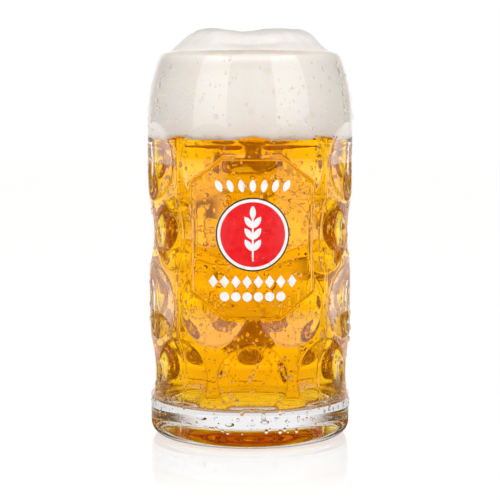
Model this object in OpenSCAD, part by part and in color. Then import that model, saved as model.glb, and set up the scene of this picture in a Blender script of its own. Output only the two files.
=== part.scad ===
// Dimpled one-litre beer mug of thick clear glass, full of lager under a head of foam.
// Millimetres. The mug stands on z = 0 with its axis on Z.
// The plain panel that carries the print faces -Y and the handle is opposite, at +Y.

/* [Mug] */
// Height of the rim above the standing surface
mug_height = 200; // [190:1:215]
// Outer radius where the body is widest, at the start of the shoulder
body_radius = 53.8; // [50:0.2:58]
// How much narrower the foot is than the widest part, on each side
foot_taper = 1.4; // [0.5:0.1:3]
// Height at which the shoulder starts
shoulder_z = 165; // [160:1:172]
// Radius of the arc that draws the shoulder in to the mouth
shoulder_radius = 90; // [80:1:120]
// Thickness of the glass wall between the dimples
wall = 6; // [5.6:0.1:7]
// How far the rounded lip swells past the wall, on each side
lip_bead = 0.1; // [0.05:0.05:0.4]
// Rounding of the bottom edge
foot_round = 6.8; // [5:0.2:8]
// Thickness of the solid glass base
base_thickness = 18; // [16:0.5:22]
// Rounding between the inner wall and the inner floor
floor_round = 6; // [4:0.5:10]
// Width of the flat ring that the mug stands on
foot_ring = 2.1; // [1.5:0.1:4]
// Depth of the hollow under the base
punt_depth = 7.5; // [4:0.5:9]
// Width of the hollow's sloping side
punt_side = 13; // [9:0.5:18]

/* [Dimples] */
// Dimples around the mug in each row
dimples_around = 8; // [8:1:8]
// Rows of oval dimples above the row of arches
oval_rows = 3; // [3:1:3]
// Height of the middle of the row of arches
arch_z = 35.4; // [34:0.2:38]
// Height from one row to the next
row_pitch = 36.1; // [35.5:0.1:38]
// Half of an oval dimple's height
dimple_half_height = 18.7; // [16:0.1:20]
// Half of a dimple's width, across the wall
dimple_half_width = 17.8; // [16:0.1:19]
// Depth of an oval dimple at its middle
dimple_depth = 4.2; // [3.6:0.1:4.4]
// Depth of an arch at its middle
arch_depth = 4.5; // [3.6:0.1:4.6]
// Height of the ledge that the arches stand on
ledge_z = 21.5; // [20:0.5:24]

/* [Plain panel] */
// Width of the panel that is left plain for the print, across the front
panel_width = 61; // [56:1:64]
// Height of the panel
panel_height = 79; // [70:1:82]
// Height of the panel's middle
panel_z = 107; // [104:0.5:110]
// Width of the panel's cut corners
panel_corner_width = 15.5; // [8:0.5:20]
// Height of the panel's cut corners
panel_corner_height = 12; // [8:0.5:20]

/* [Handle] */
// Height of the middle of the upper arm
handle_top_z = 144.5; // [140:0.5:154]
// Height of the middle of the lower arm
handle_bottom_z = 48; // [40:0.5:56]
// Gap for the fingers between the widest part of the body and the grip
finger_gap = 34.7; // [30:0.5:42]
// Radius of the bends between the arms and the grip, at their middle line
handle_bend = 28; // [20:1:32]
// Width of the handle
handle_width = 17.5; // [16:0.5:24]
// Thickness of the handle
handle_thickness = 15; // [12:0.5:18]

/* [Contents] */
// Height of the beer
beer_z = 156; // [120:1:160]
// Height of the top of the foam
foam_top_z = 213; // [206:1:218]
// Rounding of the foam's crown
crown_round = 22; // [14:0.5:26]
// Clearance between the contents and the glass
fill_gap = 0.1; // [0.05:0.05:0.3]

/* [Print] */
// Height of the middle of the round badge
badge_z = 109; // [104:0.5:112]
// Outer radius of the badge
badge_radius = 18.3; // [15:0.1:19]
// Width of the dark line around the badge
badge_line = 0.7; // [0.4:0.1:1.2]
// Width of the white ring inside the dark line
badge_ring = 1.5; // [1:0.1:3]
// Length of one barley grain on the badge
grain_length = 7; // [6:0.1:8]
// Width of one barley grain on the badge
grain_width = 3; // [2.4:0.1:3.2]
// Lean of the grains away from the stem, in degrees
grain_lean = 35; // [30:1:45]
// Width of the barley's stem
stem_width = 0.9; // [0.6:0.1:1.4]
// Height of each row of ornaments above and below the badge
ornament_height = 6.4; // [5:0.1:7]
// Distance from one ornament to the next in its row
ornament_pitch = 5.6; // [4.6:0.1:6]
// Height of the row of leaves above the badge
leaf_row_z = 133; // [131:0.5:136]
// Height of the row of lozenges below the badge
lozenge_row_z = 85.5; // [84:0.5:87]
// Height of the row of drops below the lozenges
drop_row_z = 78; // [76:0.5:78.5]
// Thickness of the fired-on colour
print_thickness = 0.2; // [0.1:0.05:0.3]

/* [Hidden] */
$fn = 96;

glass_colour = [0.86, 0.93, 0.94, 0.35];
beer_colour = [0.93, 0.58, 0.08, 0.85];
foam_colour = [0.95, 0.92, 0.86];
red_colour = [0.75, 0.07, 0.09];
white_colour = [0.97, 0.97, 0.96];
black_colour = [0.08, 0.07, 0.07];

// The shoulder and the inside of the shoulder are arcs about one centre, and the lip is a round bead
// that closes the wall between them.
lip_radius = wall / 2 + lip_bead;
lip_z = mug_height - lip_radius;
arc_centre_r = body_radius - shoulder_radius;
lip_arc = shoulder_radius - wall / 2;
lip_angle = asin((lip_z - shoulder_z) / lip_arc);
lip_r = arc_centre_r + lip_arc * cos(lip_angle);

foot_radius = body_radius - foot_taper;
handle_reach = body_radius + finger_gap + handle_thickness / 2;
dimple_step = 360 / dimples_around;
punt_radius = foot_radius - foot_round - foot_ring;
crown_r = lip_r - lip_radius - fill_gap - crown_round;
print_far = 2 * body_radius;
// How far a cutter stands clear of the surface that it cuts
cut_slack = wall / 7;

// Outer radius of the undimpled body at a height on the straight flank
function flank_r(z) = foot_radius + (body_radius - foot_radius) * (z - foot_round) / (shoulder_z - foot_round);

// Half section of the space inside the mug, from the floor up to the start of the shoulder
module cavity_2d(gap, top) {
    floor_r = flank_r(base_thickness + floor_round) - wall - gap;
    intersection() {
        union() {
            polygon([
                [0, base_thickness + floor_round],
                [floor_r, base_thickness + floor_round],
                [body_radius - wall - gap, shoulder_z],
                [0, shoulder_z]
            ]);
            translate([0, base_thickness + gap])
                square([floor_r - floor_round, floor_round - gap]);
            intersection() {
                translate([floor_r - floor_round, base_thickness + floor_round])
                    circle(r = floor_round - gap / 2);
                translate([floor_r - floor_round, base_thickness + gap])
                    square([floor_round, floor_round - gap]);
            }
        }
        square([2 * body_radius, top]);
    }
}

// Half section of the space inside the shoulder, from its start up to the lip's bead
module neck_2d(gap, bottom) {
    intersection() {
        translate([arc_centre_r, shoulder_z])
            circle(r = shoulder_radius - wall - gap);
        translate([0, bottom])
            square([2 * body_radius, lip_z - lip_radius - bottom]);
    }
}

// Half section of the glass, without its dimples
module wall_2d() {
    arc_outer = shoulder_radius * 2;
    difference() {
        union() {
            translate([0, foot_round])
                polygon([
                    [0, 0],
                    [foot_radius, 0],
                    [body_radius, shoulder_z - foot_round],
                    [0, shoulder_z - foot_round]
                ]);
            square([foot_radius - foot_round, foot_round]);
            intersection() {
                translate([foot_radius - foot_round, foot_round])
                    circle(r = foot_round);
                translate([foot_radius - foot_round, 0])
                    square(foot_round);
            }
        }
        cavity_2d(0, shoulder_z);
        polygon([
            [0, -cut_slack],
            [punt_radius, -cut_slack],
            [punt_radius, 0],
            [punt_radius - punt_side, punt_depth],
            [0, punt_depth]
        ]);
    }
    intersection() {
        translate([arc_centre_r, shoulder_z])
            difference() {
                circle(r = shoulder_radius);
                circle(r = shoulder_radius - wall);
            }
        translate([arc_centre_r, shoulder_z])
            polygon([[0, 0], [arc_outer, 0], [arc_outer * cos(lip_angle), arc_outer * sin(lip_angle)]]);
    }
    translate([lip_r, lip_z])
        circle(r = lip_radius);
}

// Radius of the arc that is a given width from side to side and a given height in its middle
function arc_r(half_width, height) = (half_width ^ 2 + height ^ 2) / (2 * height);

// One dimple: the outer side of a ring, pressed into the wall, from its lowest height upwards
module dimple_cutter(z, depth, lowest) {
    upright_r = arc_r(dimple_half_height, depth);
    edge_drop = flank_r(z) - sqrt(flank_r(z) ^ 2 - dimple_half_width ^ 2);
    across_r = arc_r(dimple_half_width, depth - edge_drop);
    half_width = dimple_half_width + 2 * cut_slack;
    top = z + dimple_half_height + 4 * cut_slack;
    intersection() {
        translate([0, depth - flank_r(z) - across_r, z])
            rotate([0, 0, 45])
            rotate_extrude(angle = 90)
            translate([across_r - upright_r, 0])
            circle(r = upright_r);
        translate([-half_width, -flank_r(z) - 2 * cut_slack, lowest])
            cube([2 * half_width, depth + 3 * cut_slack, top - lowest]);
    }
}

// Plain eight-sided panel at the front, as a prism through the front wall
module panel_prism() {
    half_w = panel_width / 2;
    half_h = panel_height / 2;
    translate([0, -body_radius / 2, panel_z])
        rotate([90, 0, 0])
        linear_extrude(height = body_radius)
        polygon([
            [half_w, half_h - panel_corner_height],
            [half_w - panel_corner_width, half_h],
            [panel_corner_width - half_w, half_h],
            [-half_w, half_h - panel_corner_height],
            [-half_w, panel_corner_height - half_h],
            [panel_corner_width - half_w, -half_h],
            [half_w - panel_corner_width, -half_h],
            [half_w, panel_corner_height - half_h]
        ]);
}

// All the dimples: each row is turned by half a step against the next
module dimple_cutters() {
    for (i = [0 : dimples_around - 1]) {
        rotate([0, 0, i * dimple_step])
            dimple_cutter(arch_z, arch_depth, ledge_z);
        for (row = [1 : oval_rows])
            rotate([0, 0, (i + (row % 2) / 2) * dimple_step])
                dimple_cutter(
                    arch_z + row * row_pitch,
                    dimple_depth,
                    arch_z + row * row_pitch - dimple_half_height - 4 * cut_slack
                );
    }
}

module glass_body() {
    color(glass_colour)
        difference() {
            rotate_extrude()
                wall_2d();
            difference() {
                dimple_cutters();
                panel_prism();
            }
        }
}

// Section of the handle: a bar with half-round edges
module handle_section() {
    edge_r = handle_thickness / 2;
    half_flat = handle_width / 2 - edge_r;
    square([2 * half_flat, handle_thickness], center = true);
    for (side = [-1, 1])
        translate([side * half_flat, 0])
            circle(r = edge_r);
}

// One bend of the handle, from an arm that lies along Y to the grip that stands along Z
module handle_corner(z, up) {
    translate([0, handle_reach - handle_bend, z + up * handle_bend])
        rotate([0, 90, 0])
        rotate([0, 0, up > 0 ? 0 : 90])
        rotate_extrude(angle = 90)
        translate([handle_bend, 0])
        rotate(90)
        handle_section();
}

// One arm of the handle, from inside the dimpled wall out to the bend
module handle_arm(z) {
    start = flank_r(z) - (wall + max(arch_depth, dimple_depth)) / 2;
    translate([0, handle_reach - handle_bend, z])
        rotate([90, 0, 0])
        linear_extrude(height = handle_reach - handle_bend - start)
        handle_section();
}

module handle() {
    color(glass_colour)
        difference() {
            union() {
                handle_arm(handle_bottom_z);
                handle_arm(handle_top_z);
                handle_corner(handle_bottom_z, 1);
                handle_corner(handle_top_z, -1);
                translate([0, handle_reach, handle_bottom_z + handle_bend])
                    linear_extrude(height = handle_top_z - handle_bottom_z - 2 * handle_bend)
                    handle_section();
            }
            glass_body();
        }
}

module beer() {
    color(beer_colour)
        rotate_extrude()
        cavity_2d(fill_gap, beer_z);
}

module foam_head() {
    color(foam_colour)
        rotate_extrude() {
            difference() {
                cavity_2d(fill_gap, shoulder_z);
                square([2 * body_radius, beer_z]);
            }
            neck_2d(fill_gap, shoulder_z);
            translate([crown_r, foam_top_z - crown_round])
                intersection() {
                    circle(r = crown_round);
                    square(crown_round);
                }
            translate([0, foam_top_z - crown_round])
                square([crown_r, crown_round]);
            translate([0, shoulder_z])
                square([crown_r + crown_round, foam_top_z - crown_round - shoulder_z]);
        }
}

// A leaf or grain: the lens where two equal circles cross, standing on its point
module lens_2d(length, width) {
    r = (length ^ 2 + width ^ 2) / (4 * width);
    intersection() {
        translate([r - width / 2, 0])
            circle(r = r);
        translate([width / 2 - r, 0])
            circle(r = r);
    }
}

// An ear of barley: pairs of grains that lean out from one stem, with one grain at the top
module barley_2d() {
    rise = 1.08 * grain_width / sin(grain_lean);
    lowest = -1.45 * rise;
    for (level = [0 : 2], side = [-1, 1])
        translate([0, lowest + level * rise])
            rotate(-side * grain_lean)
            translate([0, grain_length / 2])
            lens_2d(grain_length, grain_width);
    translate([0, lowest + 2.75 * rise + grain_length / 2])
        lens_2d(grain_length, grain_width);
    translate([-stem_width / 2, lowest - 0.9 * rise])
        square([stem_width, 4 * rise]);
}

module leaf_row_2d() {
    for (i = [-3 : 3])
        translate([i * ornament_pitch, leaf_row_z - badge_z])
            rotate(-i * 9)
            lens_2d(ornament_height, 0.5 * ornament_height);
}

module lozenge_row_2d() {
    for (i = [-3.5 : 3.5])
        translate([i * ornament_pitch, lozenge_row_z - badge_z])
            polygon([
                [0, -ornament_height / 2],
                [ornament_pitch * 0.42, 0],
                [0, ornament_height / 2],
                [-ornament_pitch * 0.42, 0]
            ]);
}

module drop_row_2d() {
    for (i = [-2.5 : 2.5])
        translate([i * ornament_pitch, drop_row_z - badge_z])
            circle(r = ornament_height * 0.36);
}

// Lays a flat design on the front of the panel as a thin coat
module on_panel() {
    low = panel_z - panel_height / 2;
    high = panel_z + panel_height / 2;
    intersection() {
        rotate_extrude()
            polygon([
                [flank_r(low), low],
                [flank_r(low) + print_thickness, low],
                [flank_r(high) + print_thickness, high],
                [flank_r(high), high]
            ]);
        translate([0, 0, badge_z])
            rotate([90, 0, 0])
            linear_extrude(height = print_far)
            children();
    }
}

module print_red() {
    color(red_colour)
        on_panel()
        difference() {
            circle(r = badge_radius - badge_line - badge_ring);
            barley_2d();
        }
}

module print_white() {
    color(white_colour)
        on_panel() {
            difference() {
                circle(r = badge_radius - badge_line);
                circle(r = badge_radius - badge_line - badge_ring);
            }
            barley_2d();
            leaf_row_2d();
            lozenge_row_2d();
            drop_row_2d();
        }
}

module print_black() {
    color(black_colour)
        on_panel()
        difference() {
            circle(r = badge_radius);
            circle(r = badge_radius - badge_line);
        }
}

glass_body();
handle();
beer();
foam_head();
print_red();
print_white();
print_black();
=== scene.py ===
import math

import bmesh
import bpy
import numpy as np
from mathutils import Matrix, Vector, noise


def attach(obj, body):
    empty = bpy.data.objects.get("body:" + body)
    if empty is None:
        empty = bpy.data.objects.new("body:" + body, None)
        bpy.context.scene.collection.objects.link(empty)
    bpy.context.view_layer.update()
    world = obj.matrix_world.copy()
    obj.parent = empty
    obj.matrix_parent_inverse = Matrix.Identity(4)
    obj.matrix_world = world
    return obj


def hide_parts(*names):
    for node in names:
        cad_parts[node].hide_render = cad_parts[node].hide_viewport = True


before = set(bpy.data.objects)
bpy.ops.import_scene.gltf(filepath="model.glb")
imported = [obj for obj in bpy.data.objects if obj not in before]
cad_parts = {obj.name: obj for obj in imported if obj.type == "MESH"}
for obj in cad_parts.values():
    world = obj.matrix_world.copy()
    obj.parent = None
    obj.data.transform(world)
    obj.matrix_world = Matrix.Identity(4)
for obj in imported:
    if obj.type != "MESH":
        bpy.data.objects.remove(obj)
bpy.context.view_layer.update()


# Glass mug: one piece of clear soda-lime glass, blown into a dimpled mould with a thick solid base.
# The plain front panel faces -Y. The handle was made apart and joined hot to the back, at +Y.
mug_height = 0.200
body_radius = 0.0538
foot_radius = 0.0524
shoulder_z = 0.165
shoulder_radius = 0.090
wall = 0.0060
foot_round = 0.0068
base_thickness = 0.018
floor_round = 0.006
punt_radius = 0.0435
punt_depth = 0.0075
punt_slope = 0.58
punt_soft = 0.003
lip_radius = wall / 2
lip_z = mug_height - lip_radius
arc_centre_r = body_radius - shoulder_radius
lip_angle = math.asin((lip_z - shoulder_z) / (shoulder_radius - lip_radius))
lip_r = arc_centre_r + (shoulder_radius - lip_radius) * math.cos(lip_angle)


def flank_r(z):
    """Outer radius of the undimpled flank at a height."""
    return foot_radius + (body_radius - foot_radius) * (z - foot_round) / (shoulder_z - foot_round)


def arc(centre, radius, start, end, steps):
    """Points (r, z) along an arc of a half section, angles in radians from +r towards +z."""
    turn = (end - start) / steps
    return [
        (centre[0] + radius * math.cos(start + i * turn), centre[1] + radius * math.sin(start + i * turn))
        for i in range(steps + 1)
    ]


def line(start, end, steps):
    """Points (r, z) along a straight stretch of a half section, without its first point."""
    return [
        (start[0] + (end[0] - start[0]) * i / steps, start[1] + (end[1] - start[1]) * i / steps)
        for i in range(1, steps + 1)
    ]


def turned(points, front_steps, back_steps):
    """Turns a half section about Z.

    One eighth is spun for the two at the front and one for the other six, and they are copied round.
    """
    bm = bmesh.new()
    eighth = math.tau / 8
    for first, steps, copies in ((-1, front_steps, 2), (1, back_steps, 6)):
        start = first * eighth
        ring = [bm.verts.new((r * math.sin(start), -r * math.cos(start), z)) for r, z in points]
        edges = [bm.edges.new(pair) for pair in zip(ring, ring[1:])]
        before = set(bm.faces)
        bmesh.ops.spin(bm, geom=ring + edges, axis=(0, 0, 1), cent=(0, 0, 0), angle=eighth, steps=steps)
        faces = [face for face in bm.faces if face not in before]
        for copy in range(1, copies):
            made = bmesh.ops.duplicate(bm, geom=faces)["geom"]
            moved = [item for item in made if isinstance(item, bmesh.types.BMVert)]
            bmesh.ops.rotate(bm, verts=moved, cent=(0, 0, 0), matrix=Matrix.Rotation(copy * eighth, 3, "Z"))
    bmesh.ops.remove_doubles(bm, verts=bm.verts[:], dist=1e-6)
    bmesh.ops.recalc_face_normals(bm, faces=bm.faces[:])
    return bm


def finished(bm, name, material, smooth=True):
    """Turns a bmesh into a shown object with one material."""
    mesh = bpy.data.meshes.new(name)
    for face in bm.faces:
        face.smooth = smooth
    bm.to_mesh(mesh)
    bm.free()
    piece = bpy.data.objects.new(name, mesh)
    bpy.context.collection.objects.link(piece)
    mesh.materials.append(material)
    return piece


floor_r = flank_r(base_thickness + floor_round) - wall


def under_z(r):
    """Height of the underside: a flat hollow with a conical side, softly rounded where they meet."""
    side = punt_slope * (punt_radius - r)
    blend = min(max(0.5 + 0.5 * (side - punt_depth) / punt_soft, 0), 1)
    return max(side + (punt_depth - side) * blend - punt_soft * blend * (1 - blend), 0)


underside = [(punt_radius * i / 22, under_z(punt_radius * i / 22)) for i in range(23)]
foot_edge = arc((foot_radius - foot_round, foot_round), foot_round, -math.pi / 2, 0, 8)
ledge_z = 0.0215
ledge_rise = 0.0008
ledge_foot = (flank_r(ledge_z - ledge_rise), ledge_z - ledge_rise)
ledge_top = (flank_r(ledge_z), ledge_z)
flank = line(foot_edge[-1], ledge_foot, 8) + line(ledge_foot, ledge_top, 3)
flank += line(ledge_top, (body_radius, shoulder_z), 165)
shoulder = arc((arc_centre_r, shoulder_z), shoulder_radius, 0, lip_angle, 16)[1:]
lip = arc((lip_r, lip_z), lip_radius, lip_angle, lip_angle + math.pi, 10)[1:]
neck = arc((arc_centre_r, shoulder_z), shoulder_radius - wall, lip_angle, 0, 10)[1:]
inner_flank = line(neck[-1], (floor_r, base_thickness + floor_round), 36)
corner_centre = (floor_r - floor_round, base_thickness + floor_round)
floor_corner = arc(corner_centre, floor_round, 0, -math.pi / 2, 16)[1:]
floor = line(floor_corner[-1], (0, base_thickness), 4)
section = underside + foot_edge + flank + shoulder + lip + neck + inner_flank + floor_corner + floor
front_steps = 76
back_steps = 28
glass = turned(section, front_steps, back_steps)

# Dimples: three rows of ovals above a row of arches, each row half a step round from the next.
# Each is nearly flat across and hollow upwards, and the plain panel keeps the full radius.
dimple_step = math.tau / 8
low_row_z = 0.0354
row_pitch = 0.0361
dimple_half_height = 0.0187
dimple_half_angle = math.radians(19.6)
dimple_depth = 0.0043
low_row_depth = 0.0047
ridge_soft = 0.0007
ridge_line = 0.0004
follow = 0.35
panel_z = 0.107
panel_half = (0.0305, 0.0395)
panel_corner = (0.0155, 0.012)
panel_edge = 0.0014


def soft_least(a, b, reach):
    """The lesser of two values, rounded off where they meet."""
    blend = np.clip(0.5 + 0.5 * (b - a) / reach, 0, 1)
    return b + (a - b) * blend - reach * blend * (1 - blend)


def smooth_step(low, high, value):
    t = np.clip((value - low) / (high - low), 0, 1)
    return t * t * (3 - 2 * t)


def dimpled_radius(turn, z):
    """Outer radius with the dimples, at an angle from the front and a height, and how near a ridge is."""
    full = flank_r(z)
    radius = full.copy()
    levels = [full]
    for row in range(4):
        away = (turn / dimple_step - 0.5 * (row % 2) + 0.5) % 1 - 0.5
        angle = away * dimple_step
        rise = z - (low_row_z + row * row_pitch)
        across = np.sin(angle) / math.sin(dimple_half_angle)
        deep = dimple_depth if row else low_row_depth
        chord = full * (1 - math.cos(dimple_half_angle))
        bowl = full - deep + (deep - chord) * across ** 2 + deep * (rise / dimple_half_height) ** 2
        cut = bowl / np.cos(angle)
        if row == 0:
            cut = cut + 0.006 * (1 - smooth_step(ledge_z - ledge_rise, ledge_z, z))
        radius = soft_least(radius, cut, ridge_soft)
        levels.append(cut)
    lowest = np.sort(levels, axis=0)
    x = full * np.sin(turn)
    up = np.abs(z - panel_z)
    side = np.abs(x)
    slope = np.array([panel_corner[1], panel_corner[0]]) / math.hypot(*panel_corner)
    corner_at = (panel_half[0] - panel_corner[0], panel_half[1])
    cut_corner = -((side - corner_at[0]) * slope[0] + (up - corner_at[1]) * slope[1])
    inside = np.minimum(np.minimum(panel_half[0] - side, panel_half[1] - up), cut_corner)
    inside = np.where(np.cos(turn) > 0, inside, -1.0)
    plain = smooth_step(-panel_edge, panel_edge * 0.2, inside)
    ridge = (1 - smooth_step(0.0, ridge_line, lowest[1] - lowest[0])) * (1 - plain)
    return radius + (full - radius) * plain, ridge


def press_dimples(bm, wall_at, share):
    """Moves the points of a turned shape inwards by a share of the dimples' depth.

    wall_at tells, for arrays of reach and height, which points lie on the wall to press.
    """
    place = np.array([vert.co for vert in bm.verts])
    reach = np.hypot(place[:, 0], place[:, 1])
    height = place[:, 2]
    turn = np.arctan2(place[:, 0], -place[:, 1])
    pressed, ridge = dimpled_radius(turn, height)
    depth = (flank_r(height) - pressed) * share(height)
    chosen = wall_at(reach, height)
    # Nearness to a ridge is kept on each point, for the painted shade along the ridges in the glass shader.
    layers = bm.verts.layers.float
    ridge_layer = layers.get("ridge") or layers.new("ridge")
    for i in np.nonzero(chosen)[0]:
        vert = bm.verts[i]
        keep = 1 - depth[i] / reach[i]
        vert.co = (vert.co.x * keep, vert.co.y * keep, vert.co.z)
        vert[ridge_layer] = ridge[i] * share(height[i])


def outer_wall(reach, height):
    return (reach > flank_r(height) - wall / 2) & (height > foot_round) & (height < shoulder_z + 0.004)


def inner_wall(reach, height):
    near = np.abs(reach - flank_r(height) + wall) < 0.001
    return near & (height > base_thickness + 0.002) & (height < shoulder_z + 0.004)


def outer_share(height):
    return 1 - smooth_step(shoulder_z - 0.002, shoulder_z + 0.004, height)


def inner_share(height):
    low = smooth_step(base_thickness + 0.002, base_thickness + floor_round + 0.004, height)
    return follow * low * outer_share(height)


glass.verts.ensure_lookup_table()
press_dimples(glass, inner_wall, inner_share)
press_dimples(glass, outer_wall, outer_share)

# Mould seams: four fine upright ridges where the parts of the mould met.
# They are glass like the wall, on the outside only, and fade out on the shoulder.
seam_rise = 0.00022
seam_turns = (math.tau / 8 * (front_steps - 1) / front_steps, math.tau * 3 / 8)
place = np.array([vert.co for vert in glass.verts])
reach = np.hypot(place[:, 0], place[:, 1])
turn = np.abs(np.arctan2(place[:, 0], -place[:, 1]))
on_seam = np.minimum(np.abs(turn - seam_turns[0]), np.abs(turn - seam_turns[1])) < 0.001
outside = (reach > flank_r(place[:, 2]) - wall + 0.0006) & (place[:, 2] > foot_round) & (reach > 0.046)
raised = seam_rise * (1 - smooth_step(shoulder_z - 0.010, shoulder_z + 0.012, place[:, 2]))
for i in np.nonzero(on_seam & outside)[0]:
    vert = glass.verts[i]
    grow = 1 + raised[i] / reach[i]
    vert.co = (vert.co.x * grow, vert.co.y * grow, vert.co.z)

# Handle: a bar with half-round edges that leaves the back wall, bends into an upright grip and comes back.
# Its two roots are melted on, so the wall is opened there and drawn out to meet the bar.
handle_top_z = 0.1445
handle_bottom_z = 0.048
handle_bend = 0.028
handle_width = 0.0175
handle_thickness = 0.015
handle_reach = body_radius + 0.0347 + handle_thickness / 2
root_half = (0.0098, 0.0086)
root_y = body_radius + 0.0030
grip = bmesh.new()
bar = bmesh.ops.create_circle(grip, segments=72, radius=handle_thickness / 2)["verts"]
for vert in bar:
    vert.co.x += math.copysign(handle_width / 2 - handle_thickness / 2, vert.co.x)
bmesh.ops.rotate(grip, verts=bar, matrix=Matrix.Rotation(math.pi / 2, 3, "X"))
bmesh.ops.translate(grip, verts=bar, vec=(0, root_y, handle_top_z))


def drawn_on(edges, vec, steps):
    """Draws an open loop of the handle onward in a straight line."""
    for _ in range(steps):
        out = bmesh.ops.extrude_edge_only(grip, edges=edges)["geom"]
        edges = [item for item in out if isinstance(item, bmesh.types.BMEdge) and item.is_boundary]
        loop = list({vert for edge in edges for vert in edge.verts})
        bmesh.ops.translate(grip, verts=loop, vec=Vector(vec) / steps)
    return edges


def bent(edges, centre, degrees, steps):
    """Turns an open loop of the handle through a bend in the Y-Z plane."""
    loop = list({vert for edge in edges for vert in edge.verts})
    spun = bmesh.ops.spin(
        grip, geom=loop + edges, axis=(1, 0, 0), cent=centre, angle=math.radians(degrees), steps=steps
    )
    return [item for item in spun["geom_last"] if isinstance(item, bmesh.types.BMEdge)]


bend_y = handle_reach - handle_bend
run = grip.edges[:]
run = drawn_on(run, (0, bend_y - root_y, 0), 4)
run = bent(run, (0, bend_y, handle_top_z - handle_bend), -90, 14)
run = drawn_on(run, (0, 0, handle_bottom_z - handle_top_z + 2 * handle_bend), 6)
run = bent(run, (0, bend_y, handle_bottom_z + handle_bend), -90, 14)
drawn_on(run, (0, root_y - bend_y, 0), 4)
grip_mesh = bpy.data.meshes.new("handle_bar")
grip.to_mesh(grip_mesh)
grip.free()
glass.from_mesh(grip_mesh)
bpy.data.meshes.remove(grip_mesh)

for root_z in (handle_top_z, handle_bottom_z):
    ends = [edge for edge in glass.edges if edge.is_boundary]
    root = [edge for edge in ends if abs(edge.verts[0].co.z - root_z) < handle_thickness]
    patch = []
    for face in glass.faces:
        middle = face.calc_center_median()
        reach = math.hypot(middle.x, middle.y)
        if middle.y > 0.040 and flank_r(middle.z) - wall + 0.0006 < reach < body_radius + 0.001:
            if math.hypot(middle.x / root_half[0], (middle.z - root_z) / root_half[1]) < 1:
                patch.append(face)
    inside_patch = set(patch)
    rim = {edge for face in patch for edge in face.edges}
    rim = [edge for edge in rim if any(face not in inside_patch for face in edge.link_faces)]
    bmesh.ops.delete(glass, geom=patch, context="FACES")
    for vert in {vert for edge in rim for vert in edge.verts}:
        lean = math.hypot(vert.co.x / root_half[0], (vert.co.z - root_z) / root_half[1])
        vert.co.x /= lean
        vert.co.z = root_z + (vert.co.z - root_z) / lean
    bridge = bmesh.ops.bridge_loops(glass, edges=rim + root)
    kept = set(rim) | set(root)
    across_root = [edge for edge in {e for face in bridge["faces"] for e in face.edges} if edge not in kept]
    cut = bmesh.ops.subdivide_edges(glass, edges=across_root, cuts=4, use_grid_fill=True)
    loose = {item for item in cut["geom_inner"] if isinstance(item, bmesh.types.BMVert)}
    loose |= {vert for edge in rim + root for vert in edge.verts}
    for _ in range(12):
        bmesh.ops.smooth_vert(
            glass, verts=list(loose), factor=0.5, use_axis_x=True, use_axis_y=True, use_axis_z=True
        )
bmesh.ops.recalc_face_normals(glass, faces=glass.faces[:])


class Tap:
    """A shader socket that sums can be written on."""

    def __init__(self, tree, socket):
        self.tree = tree
        self.socket = socket

    def node(self, kind, settings=None, **inputs):
        """Adds a node, sets it up, and fills its sockets with values or links."""
        made = self.tree.nodes.new(kind)
        for key, value in (settings or {}).items():
            setattr(made, key, value)
        for key, value in inputs.items():
            slot = made.inputs[int(key[1:])] if key[0] == "_" else made.inputs[key.replace("_", " ")]
            if isinstance(value, Tap):
                self.tree.links.new(value.socket, slot)
            else:
                slot.default_value = value
        return made

    def out(self, kind, name=0, settings=None, **inputs):
        return Tap(self.tree, self.node(kind, settings, **inputs).outputs[name])

    def maths(self, operation, a, b=0.0):
        return self.out("ShaderNodeMath", 0, {"operation": operation}, _0=a, _1=b)

    def __add__(self, other):
        return self.maths("ADD", self, other)

    __radd__ = __add__

    def __mul__(self, other):
        return self.maths("MULTIPLY", self, other)

    __rmul__ = __mul__

    def __sub__(self, other):
        return self.maths("SUBTRACT", self, other)

    def __rsub__(self, other):
        return self.maths("SUBTRACT", other, self)

    def __truediv__(self, other):
        return self.maths("DIVIDE", self, other)

    def within(self, low, high, start=0.0, end=1.0):
        """Runs smoothly from start to end as the value goes from low to high."""
        return self.out(
            "ShaderNodeMapRange", 0, {"interpolation_type": "SMOOTHSTEP"},
            Value=self, From_Min=low, From_Max=high, To_Min=start, To_Max=end,
        )

    def tint(self, first, second):
        """Mixes two colours by the value."""
        return self.out("ShaderNodeMix", 2, {"data_type": "RGBA"}, _0=self, _6=first, _7=second)


def surface(name):
    """A new material: its principled shader, its output, and a tap on object coordinates."""
    material = bpy.data.materials.new(name)
    material.use_nodes = True
    tree = material.node_tree
    shader = tree.nodes["Principled BSDF"]
    coords = Tap(tree, tree.nodes.new("ShaderNodeTexCoord").outputs["Object"])
    return material, shader, tree.nodes["Material Output"], coords


beer_z = 0.1564
glass_ior = 1.52
glass_tint = (0.9, 0.9, 0.905, 1)
glass_depth = 22.0
handle_mist = 0.10
# The handle's mist is a thin film of dew that scatters light. Its warm colour is a painted reflection of
# the beer's amber light.
mist_and_amber_reflection_colour = (0.97, 0.88, 0.76, 1)
glass_skin, shader, output, coords = surface("clear_glass")
tree = coords.tree
wetted = coords.node("ShaderNodeBsdfPrincipled")
for side in (shader, wetted):
    side.inputs["Base Color"].default_value = (1, 1, 1, 1)
    side.inputs["Roughness"].default_value = 0.0
    side.inputs["IOR"].default_value = glass_ior
    side.inputs["Transmission Weight"].default_value = 1.0
wetted.inputs["Specular Tint"].default_value = (0.04, 0.04, 0.04, 1)
place = coords.node("ShaderNodeSeparateXYZ", None, Vector=coords)
x, y, z = (Tap(tree, place.outputs[axis]) for axis in "XYZ")
taper = (body_radius - foot_radius) / (shoulder_z - foot_round)
deep = z * taper + (foot_radius - foot_round * taper) - coords.maths("SQRT", x * x + y * y)
wet_from = 0.0160
wet_to = beer_z + 0.0018
in_beer = deep.within(0.0050, 0.0056) * z.within(wet_from, wet_from + 0.0005)
in_beer = in_beer * z.within(wet_to, wet_to + 0.0003, 1.0, 0.0)
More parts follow.
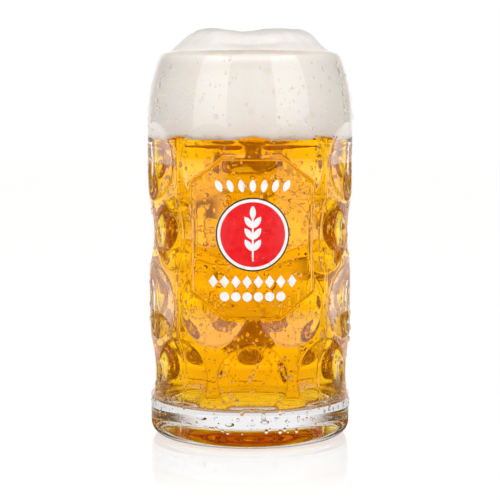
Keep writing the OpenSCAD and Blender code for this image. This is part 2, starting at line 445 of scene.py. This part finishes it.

# Fine dew and the panel's edge are relief on the outside: flat drops of many sizes, and a narrow groove.
# Both, and the ridges between dimples, get painted shade: a darker base colour, amber over the beer and
# grey elsewhere, for the dark rims that refraction gives them.
drop_scale = 430.0
drop_shadow = 0.00036
groove_depth = 0.0004
hung = coords.out("ShaderNodeVectorMath", 0, {"operation": "MULTIPLY"}, _0=coords, _1=(1, 1, 0.72))


def fine_drops(at):
    """Radius of the nearest drop and the distance to its middle, in cells."""
    scatter = coords.node("ShaderNodeTexVoronoi", None, Vector=at, Scale=drop_scale)
    lot = coords.out("ShaderNodeSeparateColor", 0, None, Color=Tap(tree, scatter.outputs["Color"]))
    return lot.within(0.15, 1.1, 0.0, 0.42), Tap(tree, scatter.outputs["Distance"])


drop_r, near = fine_drops(hung)
# Painted shade on each drop's upper crescent: the part of the drop that the same drop moved down does not
# cover.
higher = coords.out("ShaderNodeVectorMath", 0, None, _0=hung, _1=(0, 0, drop_shadow))
above_r, above_near = fine_drops(higher)
shade = (drop_r - near).within(0.0, 0.05) * (above_r - above_near).within(0.0, 0.05, 1.0, 0.0)
swell = coords.maths("MAXIMUM", drop_r * drop_r - near * near) / (drop_r + 0.02)
outside = deep.within(0.002, 0.003, 1.0, 0.0) * z.within(0.008, 0.010) * z.within(0.190, 0.197, 1.0, 0.0)
dewy = outside * z.within(beer_z - 0.002, beer_z + 0.004, 0.7, 0.35) * (1 / drop_scale)
side = coords.maths("ABSOLUTE", x)
up = coords.maths("ABSOLUTE", z - panel_z)
corner_length = math.hypot(*panel_corner)
corner_gap = (side - (panel_half[0] - panel_corner[0])) * (panel_corner[1] / corner_length)
corner_gap = corner_gap + (up - panel_half[1]) * (panel_corner[0] / corner_length)
inside = coords.maths("MINIMUM", panel_half[0] - side, panel_half[1] - up)
inside = coords.maths("MINIMUM", inside, 0.0 - corner_gap)
groove = inside.within(-0.0004, 0.0004) * inside.within(0.0004, 0.0012, 1.0, 0.0)
groove = groove * outside * y.within(-0.02, -0.01, 1.0, 0.0)
height = swell * dewy - groove * groove_depth
relief = coords.out("ShaderNodeBump", 0, None, Strength=1.0, Distance=1.0, Height=height)
# Colour of the painted shade: amber over the beer, grey elsewhere.
over_beer = z.within(0.0225, 0.0255) * z.within(beer_z - 0.001, beer_z, 1.0, 0.0)
over_beer = over_beer * deep.within(-0.002, -0.001)
edge_shade_colour = over_beer.tint((0.75, 0.75, 0.75, 1), (0.40, 0.25, 0.09, 1))
# Painted shade along the ridges between dimples, strong below the beer line and faint above it.
ridge = coords.out("ShaderNodeAttribute", "Fac", {"attribute_name": "ridge"})
ridge = ridge * z.within(beer_z - 0.001, beer_z + 0.002, 0.75, 0.1)
edge_shade = coords.maths("MAXIMUM", groove * 0.6, ridge)
edge_shade = coords.maths("MAXIMUM", shade, edge_shade) * outside
tree.links.new(edge_shade.tint((1, 1, 1, 1), edge_shade_colour).socket, shader.inputs["Base Color"])
tree.links.new(relief.socket, shader.inputs["Normal"])
clear_side = Tap(tree, shader.outputs["BSDF"])
wet_side = Tap(tree, wetted.outputs["BSDF"])
both = coords.out("ShaderNodeMixShader", 0, None, _0=in_beer, _1=clear_side, _2=wet_side)
# Mist on the handle, tinted warm as a painted reflection of the beer's amber light.
misted = coords.out("ShaderNodeBsdfTranslucent", "BSDF", None, Color=mist_and_amber_reflection_colour)
mist = y.within(body_radius + 0.004, body_radius + 0.010, 0.0, handle_mist)
skin = coords.out("ShaderNodeMixShader", 0, None, _0=mist, _1=both, _2=misted)
tree.links.new(skin.socket, output.inputs["Surface"])
tint = coords.node("ShaderNodeVolumeAbsorption", None, Color=glass_tint, Density=glass_depth)
tree.links.new(tint.outputs["Volume"], output.inputs["Volume"])
mug = finished(glass, "mug_glass", glass_skin)
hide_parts("glass_body", "handle")
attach(mug, "root")


# Beer: clear golden lager, which fills the mug up to the foam and wets the glass all round.
# Its skin lies a hair inside the glass, so light passes from glass to beer with no film of air.
overlap = 0.00012
beer_wall_top = (body_radius - wall + overlap, shoulder_z)
beer_wall_low = (floor_r + overlap, base_thickness + floor_round)
beer_share = (beer_z - beer_wall_low[1]) / (shoulder_z - beer_wall_low[1])
beer_top_r = beer_wall_low[0] + (beer_wall_top[0] - beer_wall_low[0]) * beer_share
beer_floor = [(0, base_thickness - overlap)] + line(
    (0, base_thickness - overlap), (floor_r - floor_round, base_thickness - overlap), 4
)
beer_corner = arc(corner_centre, floor_round + overlap, -math.pi / 2, 0, 16)[1:]
beer_side = line(beer_corner[-1], (beer_top_r, beer_z), 36)
beer_top = line(beer_side[-1], (0, beer_z), 8)
beer_bulk = turned(beer_floor + beer_corner + beer_side + beer_top, 40, 32)
beer_bulk.verts.ensure_lookup_table()
press_dimples(beer_bulk, inner_wall, inner_share)
climb = 0.0013
climb_from_r = 0.040
climb_width = 0.006


def creep(at):
    """How far the beer's edge climbs the glass behind the ridges of the top row."""
    crest = max(math.cos(8 * math.atan2(at.x, -at.y)), 0)
    near_wall = min(max((math.hypot(at.x, at.y) - climb_from_r) / climb_width, 0), 1)
    return climb * crest ** 2 * near_wall


for vert in beer_bulk.verts:
    if vert.co.z > beer_z - 0.0001:
        vert.co.z += creep(vert.co)
beer_ior = 1.34
beer_gold = (0.995, 0.884, 0.05, 1)
beer_depth = 86.0
beer_skin, shader, output, coords = surface("lager")
shader.inputs["Base Color"].default_value = (1, 1, 1, 1)
shader.inputs["Roughness"].default_value = 0.0
shader.inputs["IOR"].default_value = beer_ior
shader.inputs["Specular Tint"].default_value = (0.12, 0.12, 0.12, 1)
shader.inputs["Transmission Weight"].default_value = 1.0
absorb = coords.node("ShaderNodeVolumeAbsorption", None, Color=beer_gold, Density=beer_depth)
coords.tree.links.new(absorb.outputs["Volume"], output.inputs["Volume"])
beer = finished(beer_bulk, "lager", beer_skin)
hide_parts("beer")
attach(beer, "root")


# Foam: a thick creamy head that sits on the beer, presses against the glass and swells past the rim.
# Its crown rests on the inner half of the lip and has two low humps of fine froth.
foam_top_z = 0.213
foam_base = beer_z - 0.0001
foam_low_r = beer_top_r
crown_round = 0.0165
crown_foot = (lip_r - 0.0026, mug_height)
crown_lump = 0.0019
crown_grain = 0.0006
crown_dip = 0.0014
crown_sink = 0.0014
base_ripple = 0.0004
foam_bottom = [(0, foam_base)] + line((0, foam_base), (foam_low_r, foam_base), 12)
foam_side = line(foam_bottom[-1], (body_radius - wall + overlap, shoulder_z), 4)
foam_neck = arc((arc_centre_r, shoulder_z), shoulder_radius - wall + overlap, 0, lip_angle, 14)[1:]
foam_lip = arc((lip_r, lip_z), lip_radius - overlap, lip_angle + math.pi, math.radians(112), 8)
crown_middle_z = foam_top_z - crown_round
flank_height = crown_middle_z + crown_round * math.sin(math.pi / 4) - crown_foot[1]
crown_middle_r = crown_foot[0] - flank_height - crown_round * math.cos(math.pi / 4)
crown = arc((crown_middle_r, crown_middle_z), crown_round, math.pi / 4, math.pi / 2, 12)
crown_flank = line(crown_foot, crown[0], 8)
crown_top = line(crown[-1], (0, foam_top_z), 22)
foam_section = foam_bottom + foam_side + foam_neck + foam_lip + crown_flank + crown[1:] + crown_top
froth = turned(foam_section, 48, 48)
for vert in froth.verts:
    if vert.co.z < beer_z:
        vert.co.z += creep(vert.co) - base_ripple * (1 + noise.noise(vert.co * 260))
    if vert.co.z > mug_height + 0.0001:
        free = min((vert.co.z - mug_height) / 0.006, 1)
        broad = noise.noise(vert.co * 38 + Vector((3.1, 0.4, 7.7)))
        fine = noise.noise(vert.co * 150)
        hump = -crown_dip * math.exp(-((vert.co.x + 0.004) / 0.009) ** 2)
        vert.co += free * (crown_lump * broad + crown_grain * fine) * vert.co.normalized()
        vert.co.z += free * (hump - crown_sink)
froth.normal_update()
foam_skin, shader, output, coords = surface("foam")
tree = coords.tree
mottle = coords.out("ShaderNodeTexNoise", 0, None, Vector=coords, Scale=120.0, Detail=4.0, Roughness=0.6)
cells = coords.out("ShaderNodeTexVoronoi", 0, None, Vector=coords, Scale=140.0, Randomness=1.0)
seeds = coords.out("ShaderNodeTexVoronoi", 1, None, Vector=coords, Scale=140.0, Randomness=1.0)
chosen = coords.out("ShaderNodeSeparateColor", 0, None, Color=seeds).within(0.90, 0.93)
bubble = chosen * cells.within(0.22, 0.34, 1.0, 0.0)
cream = mottle.within(0.3, 0.7).tint((0.966, 0.924, 0.866, 1), (0.980, 0.950, 0.905, 1))
froth_colour = bubble.tint(cream, (0.93, 0.88, 0.79, 1))
up = Tap(tree, coords.node("ShaderNodeSeparateXYZ", None, Vector=coords).outputs["Z"])
# Painted shade: the open crown gets a darker froth colour than the foam behind the glass, to offset the
# stronger light that falls on it.
crown_shade_colour = mottle.within(0.3, 0.7).tint((0.860, 0.838, 0.808, 1), (0.905, 0.886, 0.860, 1))
froth_colour = up.within(0.200, 0.204).tint(froth_colour, crown_shade_colour)
froth_colour = up.within(beer_z - 0.001, beer_z + 0.009).tint((0.90, 0.845, 0.785, 1), froth_colour)
tree.links.new(froth_colour.socket, shader.inputs["Base Color"])
grain = coords.out("ShaderNodeTexVoronoi", 0, None, Vector=coords, Scale=900.0, Randomness=1.0)
height = grain * 0.5 + mottle
relief = coords.out("ShaderNodeBump", 0, None, Strength=0.35, Distance=0.0006, Height=height)
tree.links.new(relief.socket, shader.inputs["Normal"])
shader.inputs["Roughness"].default_value = 0.7
shader.inputs["Subsurface Weight"].default_value = 0.6
shader.inputs["Subsurface Radius"].default_value = (0.004, 0.003, 0.002)
shader.inputs["Subsurface Scale"].default_value = 1.0
foam = finished(froth, "foam_head_froth", foam_skin)
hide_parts("foam_head")
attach(foam, "root")


# Print: three colours of enamel fired on to the front panel, as thin gloss coats.
# The design is a barley badge between rows of small ornaments.
for node, low, high in (
    ("print_red", (0.74, 0.008, 0.012, 1), (0.82, 0.012, 0.016, 1)),
    ("print_white", (0.78, 0.77, 0.78, 1), (0.86, 0.85, 0.86, 1)),
    ("print_black", (0.012, 0.011, 0.011, 1), (0.03, 0.027, 0.027, 1)),
):
    enamel, shader, output, coords = surface("enamel_" + node)
    patchy = coords.out("ShaderNodeTexNoise", 0, None, Vector=coords, Scale=300.0, Detail=3.0)
    coords.tree.links.new(patchy.within(0.3, 0.7).tint(low, high).socket, shader.inputs["Base Color"])
    coords.tree.links.new(patchy.within(0.2, 0.8, 0.12, 0.3).socket, shader.inputs["Roughness"])
    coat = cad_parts[node]
    coat.data.materials.clear()
    coat.data.materials.append(enamel)


# Dew: cold drops of water that bead on the outside of the glass, most of them over the beer.
# Small ones are round domes, and larger ones sag and run a little down the wall.
dew_random = np.random.default_rng(11)


def outer_point(turn, z):
    """Points on the outside of the glass, at angles from the front and heights."""
    rise = np.clip(z - shoulder_z, 0, None)
    drawn_in = shoulder_radius - np.sqrt(shoulder_radius ** 2 - rise ** 2)
    pressed = (flank_r(z) - dimpled_radius(turn, z)[0]) * outer_share(z)
    reach = np.minimum(flank_r(z), body_radius) - drawn_in - pressed
    return np.stack([reach * np.sin(turn), -reach * np.cos(turn), z], axis=1)


def strewn(count, low, high, size, spread, start=-math.pi, end=math.pi):
    """Random angles, heights and radii for a number of drops."""
    turn = dew_random.uniform(start, end, count)
    z = dew_random.uniform(low, high, count)
    radius = size * np.exp(spread * dew_random.normal(size=count))
    return np.stack([turn, z, np.clip(radius, 0.3 * size, 2.4 * size)], axis=1)


# Each group has a count, a lowest and highest place, a usual radius and its spread.
# The last two lie between angles, as columns at the edges of the foam.
drops = np.concatenate([
    strewn(632, 0.024, 0.150, 0.00068, 0.42),
    strewn(90, 0.009, 0.024, 0.00060, 0.42),
    strewn(254, 0.150, 0.196, 0.00040, 0.35),
    strewn(24, 0.168, 0.194, 0.00075, 0.30, -1.15, -1.07),
    strewn(24, 0.168, 0.194, 0.00075, 0.30, 1.07, 1.15),
])
turn, z, size = drops.T
root_gap = np.minimum(np.abs(z - handle_top_z), np.abs(z - handle_bottom_z))
turn = np.where((np.abs(turn) > 2.85) & (root_gap < 0.013), math.pi - turn, turn)
spot = outer_point(turn, z)
along = outer_point(turn + 0.002, z) - outer_point(turn - 0.002, z)
along /= np.linalg.norm(along, axis=1)[:, None]
outward = np.cross(along, outer_point(turn, z + 0.0001) - outer_point(turn, z - 0.0001))
outward /= np.linalg.norm(outward, axis=1)[:, None]
rising = np.cross(outward, along)
sag = 1 + dew_random.uniform(0, 1.1, len(drops)) * np.minimum(size / 0.0008, 1)
drop_height = 0.55
width, length, height = size[:, None], (size * sag)[:, None], (drop_height * size)[:, None]
sides = np.stack([along * width, rising * length, outward * height], axis=1)
dew = bmesh.new()
drop_number = dew.verts.layers.int.new("drop")
bmesh.ops.create_uvsphere(dew, u_segments=8, v_segments=6, radius=1)
made = 1
while made < len(drops):
    copied = bmesh.ops.duplicate(dew, geom=dew.verts[:] + dew.edges[:] + dew.faces[:])["geom"]
    for vert in copied:
        if isinstance(vert, bmesh.types.BMVert):
            vert[drop_number] += made
    made *= 2
owner = np.array([vert[drop_number] for vert in dew.verts])
ball = np.array([vert.co for vert in dew.verts])
places = spot[owner] + np.einsum("vk,vkc->vc", ball, sides[owner])
for vert, at in zip(dew.verts, places):
    vert.co = at
water_ior = 1.33
water, shader, output, coords = surface("dew_water")
shader.inputs["Base Color"].default_value = (1, 1, 1, 1)
shader.inputs["Roughness"].default_value = 0.0
shader.inputs["IOR"].default_value = water_ior
shader.inputs["Transmission Weight"].default_value = 1.0
dew_drops = finished(dew, "dew_drops", water)
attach(dew_drops, "root")


# Floor: a plain white glossy board that the mug stands on, with its shadow and a faint mirror image.
# Seen through the glass it is lit behind the mug and dim in front.
bpy.ops.mesh.primitive_plane_add(size=8, location=(0, 0, 0))
board = bpy.context.object
board.name = "floor"
mirror_share = 0.26
board_share = 0.22
board_white = 1.14
lit_near = 1.06
lit_far = 1.36
dim_front = (0.03, 0.03, 0.03, 1)
warm_front = (1.0, 0.76, 0.56, 1)
warm_front_level = 0.58
board_skin, shader, output, coords = surface("white_board")
tree = coords.tree
shader.inputs["Base Color"].default_value = (0.9, 0.9, 0.9, 1)
shader.inputs["Roughness"].default_value = 0.5
mirror = coords.out("ShaderNodeBsdfGlossy", "BSDF", None, Color=(1, 1, 1, 1), Roughness=0.03)
glow = coords.out("ShaderNodeEmission", "Emission", None, Color=(1, 1, 1, 1), Strength=lit_near)
board_shade = Tap(tree, shader.outputs["BSDF"])
backing = coords.out("ShaderNodeEmission", "Emission", None, Color=(1, 1, 1, 1), Strength=board_white)
lit = coords.out("ShaderNodeMixShader", 0, None, _0=board_share, _1=backing, _2=board_shade)
ahead = Tap(tree, coords.node("ShaderNodeSeparateXYZ", None, Vector=coords).outputs["Y"])
away = coords.out("ShaderNodeVectorMath", "Value", {"operation": "LENGTH"}, _0=coords)
polish = away.within(0.055, 0.150, mirror_share, 0.0)
white = coords.out("ShaderNodeMixShader", 0, None, _0=polish, _1=lit, _2=mirror)
dim = coords.out("ShaderNodeBsdfDiffuse", "BSDF", None, Color=dim_front)
bright = coords.out("ShaderNodeEmission", "Emission", None, Color=(1, 1, 1, 1), Strength=lit_far)
graded = coords.out("ShaderNodeMixShader", 0, None, _0=away.within(0.2, 0.7), _1=glow, _2=bright)
sweep = coords.out("ShaderNodeMixShader", 0, None, _0=away.within(0.042, 0.062), _1=board_shade, _2=graded)
rays = coords.node("ShaderNodeLightPath")
deeper = Tap(tree, rays.outputs["Transmission Depth"]).within(1.5, 2.5)
half_lit = coords.out(
    "ShaderNodeEmission", "Emission", None, Color=warm_front, Strength=warm_front_level
)
front = coords.out("ShaderNodeMixShader", 0, None, _0=deeper, _1=dim, _2=half_lit)
behind = coords.out("ShaderNodeMixShader", 0, None, _0=ahead.within(0.0, 0.10), _1=front, _2=sweep)
seen = Tap(tree, rays.outputs["Is Camera Ray"])
soft = Tap(tree, rays.outputs["Diffuse Depth"]).within(0.2, 0.8)
other = coords.out("ShaderNodeMixShader", 0, None, _0=soft, _1=behind, _2=board_shade)
shown = coords.out("ShaderNodeMixShader", 0, None, _0=seen, _1=other, _2=white)
tree.links.new(shown.socket, output.inputs["Surface"])
board.data.materials.append(board_skin)


# Light: a white backdrop behind the mug, a dim warm room at its sides and in front,
# and two tall soft boxes. Matt surfaces get a soft fill, most of it from the front and sides.
backdrop_level = 1.20
overhead_level = 0.6
room_level = 0.06
deep_room_level = 0.26
warm_room = (1.0, 0.66, 0.40, 1)
fill_from_front = 1.26
fill_from_behind = 0.92
fill_level = 1.17
fill_from_above = 0.08
box_watts = 4.9
world = bpy.data.worlds.new("studio")
bpy.context.scene.world = world
world.use_nodes = True
sky = world.node_tree
background = sky.nodes["Background"]
direction = Tap(sky, sky.nodes.new("ShaderNodeTexCoord").outputs["Generated"])
parts = direction.node("ShaderNodeSeparateXYZ", None, Vector=direction)
backward = Tap(sky, parts.outputs["Y"])
upward = Tap(sky, parts.outputs["Z"])
backdrop = backward.within(0.69, 0.96, room_level, backdrop_level)
room = direction.maths("MAXIMUM", backdrop, upward.within(0.3, 0.9, room_level, overhead_level))
path = direction.node("ShaderNodeLightPath")
seen = Tap(sky, path.outputs["Is Camera Ray"])
soft = Tap(sky, path.outputs["Diffuse Depth"]).within(0.2, 0.8)
fill = upward.within(0.1, 0.93, fill_level, fill_from_above)
fill = fill * backward.within(-0.9, 0.3, fill_from_front, fill_from_behind)
deeper = Tap(sky, path.outputs["Transmission Depth"]).within(1.5, 2.5)
room = direction.maths("MAXIMUM", room, deeper * deep_room_level)
strength = seen + (1 - seen) * (soft * fill + (1 - soft) * room)
sky.links.new(strength.socket, background.inputs["Strength"])
dusk = (1 - seen) * (1 - soft) * backward.within(0.65, 0.96, 1.0, 0.0)
sky.links.new(dusk.tint((1, 1, 1, 1), warm_room).socket, background.inputs["Color"])


def soft_box(name, place, target, size, watts):
    data = bpy.data.lights.new(name, "AREA")
    data.shape = "RECTANGLE"
    data.size, data.size_y = size
    data.energy = watts
    data.use_nodes = True
    tree = data.node_tree
    place_on = Tap(tree, tree.nodes.new("ShaderNodeNewGeometry").outputs["Position"])
    up = Tap(tree, place_on.node("ShaderNodeSeparateXYZ", None, Vector=place_on).outputs["Z"])
    tree.links.new(up.within(0.06, 0.30, 0.45, 1.0).socket, tree.nodes["Emission"].inputs["Strength"])
    lamp = bpy.data.objects.new(name, data)
    bpy.context.collection.objects.link(lamp)
    lamp.location = place
    lamp.rotation_euler = (Vector(target) - Vector(place)).to_track_quat("-Z", "Y").to_euler()
    return lamp


box_distance = 1.0
box_turn = math.radians(46)
box_size = (0.70, 1.10)
box_middle_z = box_size[1] / 2
for name, side in (("left_box", -1), ("right_box", 1)):
    spot = (side * box_distance * math.sin(box_turn), -box_distance * math.cos(box_turn), box_middle_z)
    soft_box(name, spot, (0, 0, box_middle_z), box_size, box_watts)

# Camera: a long lens, a little above the beer, looking slightly down.
camera_data = bpy.data.cameras.new("camera")
camera = bpy.data.objects.new("camera", camera_data)
bpy.context.collection.objects.link(camera)
bpy.context.scene.camera = camera
camera_distance = 0.820
camera_height = 0.172
camera_data.sensor_width = 36
camera_data.lens = 112.2
look_z = 0.0965
camera_turn = math.radians(-1.5)
camera.location = (
    camera_distance * math.sin(camera_turn),
    -camera_distance * math.cos(camera_turn),
    camera_height,
)
camera.rotation_euler = (
    (Vector((0, 0, look_z)) - camera.location).to_track_quat("-Z", "Y").to_euler()
)
bpy.context.scene.view_settings.view_transform = "Standard"
cycles = bpy.context.scene.cycles
cycles.max_bounces = 40
cycles.transmission_bounces = 28
cycles.glossy_bounces = 16
cycles.diffuse_bounces = 12
cycles.blur_glossy = 0.0
cycles.use_denoising = True
